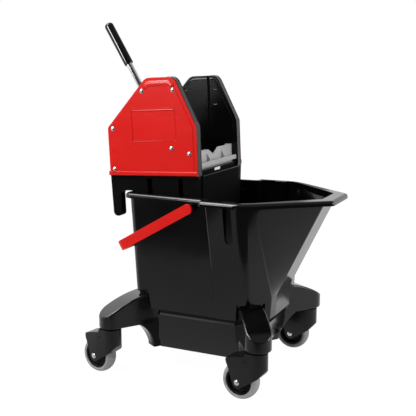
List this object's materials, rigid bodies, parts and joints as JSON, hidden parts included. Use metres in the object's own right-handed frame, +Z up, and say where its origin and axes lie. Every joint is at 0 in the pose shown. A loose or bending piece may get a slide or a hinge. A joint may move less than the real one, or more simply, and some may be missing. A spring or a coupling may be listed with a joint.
{
  "type": "mop bucket with wringer",
  "caption": "Black wheeled mop bucket with a pouring lip, red bail handle and a drop-in side-press wringer worked by a lever.",
  "frame": {"origin": "on the floor, under the middle of the whole object's box", "axes": "+X towards the pouring lip, +Y to the left, +Z up"},
  "size_m": [0.5069, 0.36, 0.7196],
  "materials": {
    "bucket_black": "glossy moulded black",
    "arm_black": "satin moulded black",
    "fork_black": "matte moulded black",
    "cover_red": "glossy bright red",
    "frame_black": "satin moulded black",
    "press_grey": "satin mid grey",
    "tyre_grey": "matt grey rubber",
    "hub_black": "matt moulded black",
    "steel": "bright zinc plated",
    "chrome": "polished chrome",
    "grip_black": "satin black rubber"
  },
  "bodies": {
    "base": {"bucket": "bucket_black", "castor_arm_front_right": "arm_black", "castor_arm_front_left": "arm_black", "castor_arm_rear_right": "arm_black", "castor_arm_rear_left": "arm_black", "castor_arm_screws": "steel", "bail_pins": "steel"},
    "castor_front_right": {"castor_fork_front_right": "fork_black", "castor_stem_front_right": "steel", "castor_axle_front_right": "steel"},
    "wheel_front_right": {"castor_hub_front_right": "hub_black", "castor_tyre_front_right": "tyre_grey"},
    "castor_front_left": {"castor_fork_front_left": "fork_black", "castor_stem_front_left": "steel", "castor_axle_front_left": "steel"},
    "wheel_front_left": {"castor_hub_front_left": "hub_black", "castor_tyre_front_left": "tyre_grey"},
    "castor_rear_right": {"castor_fork_rear_right": "fork_black", "castor_stem_rear_right": "steel", "castor_axle_rear_right": "steel"},
    "wheel_rear_right": {"castor_hub_rear_right": "hub_black", "castor_tyre_rear_right": "tyre_grey"},
    "castor_rear_left": {"castor_fork_rear_left": "fork_black", "castor_stem_rear_left": "steel", "castor_axle_rear_left": "steel"},
    "wheel_rear_left": {"castor_hub_rear_left": "hub_black", "castor_tyre_rear_left": "tyre_grey"},
    "bail": {"bail_handle": "cover_red"},
    "wringer": {"wringer_frame": "frame_black", "side_cover_right": "cover_red", "side_cover_left": "cover_red", "cover_screws_right": "steel", "cover_screws_left": "steel", "lever_axle": "steel", "lever_spacer": "steel", "lever_return_spring": "steel", "press_pin_right": "steel", "press_pin_left": "steel"},
    "lever": {"lever_pinion": "steel", "lever_blade": "steel", "lever_tube": "chrome", "lever_grip": "grip_black"},
    "press": {"press_plate": "press_grey", "press_sector": "steel"}
  },
  "joints": [
    {"name": "swivel_front_right", "type": "hinge", "parent": "base", "child": "castor_front_right", "pos_m": [0.143, -0.154, 0.1045], "axis": [0, 0, 1], "continuous": true},
    {"name": "wheel_spin_front_right", "type": "hinge", "parent": "castor_front_right", "child": "wheel_front_right", "pos_m": [0.10769, -0.15029, 0.0375], "axis": [0.1045, 0.9945, 0], "continuous": true},
    {"name": "swivel_front_left", "type": "hinge", "parent": "base", "child": "castor_front_left", "pos_m": [0.143, 0.154, 0.1045], "axis": [0, 0, 1], "continuous": true},
    {"name": "wheel_spin_front_left", "type": "hinge", "parent": "castor_front_left", "child": "wheel_front_left", "pos_m": [0.10755, 0.15586, 0.0375], "axis": [0.0523, 0.9986, 0], "continuous": true},
    {"name": "swivel_rear_right", "type": "hinge", "parent": "base", "child": "castor_rear_right", "pos_m": [-0.181, -0.154, 0.1045], "axis": [0, 0, 1], "continuous": true},
    {"name": "wheel_spin_rear_right", "type": "hinge", "parent": "castor_rear_right", "child": "wheel_rear_right", "pos_m": [-0.21585, -0.14723, 0.0375], "axis": [0.1908, 0.9816, 0], "continuous": true},
    {"name": "swivel_rear_left", "type": "hinge", "parent": "base", "child": "castor_rear_left", "pos_m": [-0.181, 0.154, 0.1045], "axis": [0, 0, 1], "continuous": true},
    {"name": "wheel_spin_rear_left", "type": "hinge", "parent": "castor_rear_left", "child": "wheel_rear_left", "pos_m": [-0.21641, 0.15648, 0.0375], "axis": [0.0698, 0.9976, 0], "continuous": true},
    {"name": "bail_swing", "type": "hinge", "parent": "base", "child": "bail", "pos_m": [-0.008, 0, 0.3627], "axis": [0, 1, 0], "range_deg": [0, 11]},
    {"name": "wringer_lift", "type": "slide", "parent": "base", "child": "wringer", "axis": [0, 0, 1], "range_m": [0, 0.2]},
    {"name": "lever_swing", "type": "hinge", "parent": "wringer", "child": "lever", "pos_m": [-0.06142, 0, 0.47355], "axis": [0, 1, 0], "range_deg": [-55, 0], "stiffness_Nm_per_rad": 0.4, "springref_deg": 51.57},
    {"name": "press_swing", "type": "hinge", "parent": "wringer", "child": "press", "pos_m": [-0.02252, 0, 0.46421], "axis": [0, 1, 0], "range_deg": [0, 24]}
  ],
  "couplings": [
    {"joint": "press_swing", "follows": "lever_swing", "ratio": -0.42857}
  ]
}
